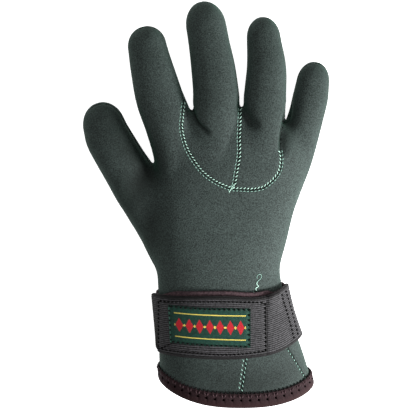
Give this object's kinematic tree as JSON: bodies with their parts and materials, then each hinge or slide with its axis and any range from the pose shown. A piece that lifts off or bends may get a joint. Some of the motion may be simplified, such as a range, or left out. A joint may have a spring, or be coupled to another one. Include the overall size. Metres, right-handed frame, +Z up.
{
  "type": "neoprene glove",
  "caption": "Five-finger neoprene sport glove for the right hand, with twin-stitched back seams, a flared cuff with a bound hem and a hook-and-loop wrist strap.",
  "frame": {"origin": "centre of the bounding box's base, on the surface the glove lies on", "axes": "+Y from the cuff to the fingertips, +Z up out of the back of the hand, thumb towards -X"},
  "size_m": [0.1619, 0.259, 0.0536],
  "materials": {
    "neoprene_jersey": "matte grey-green nylon jersey over neoprene foam",
    "binding_tape": "matte dark maroon folded tape with an overlock edge",
    "loop_pile": "matte brown-grey loop pile",
    "elastic_webbing": "dark grey ribbed elastic webbing",
    "woven_label": "woven green label with a plain pattern"
  },
  "bodies": {
    "root": {"hand_back": "neoprene_jersey", "hand_palm": "neoprene_jersey", "middle_finger": "neoprene_jersey", "ring_finger": "neoprene_jersey", "cuff_gusset": "neoprene_jersey", "hem_binding": "binding_tape", "wrist_band": "loop_pile", "closing_strap": "elastic_webbing", "woven_label": "woven_label"}
  },
  "joints": []
}
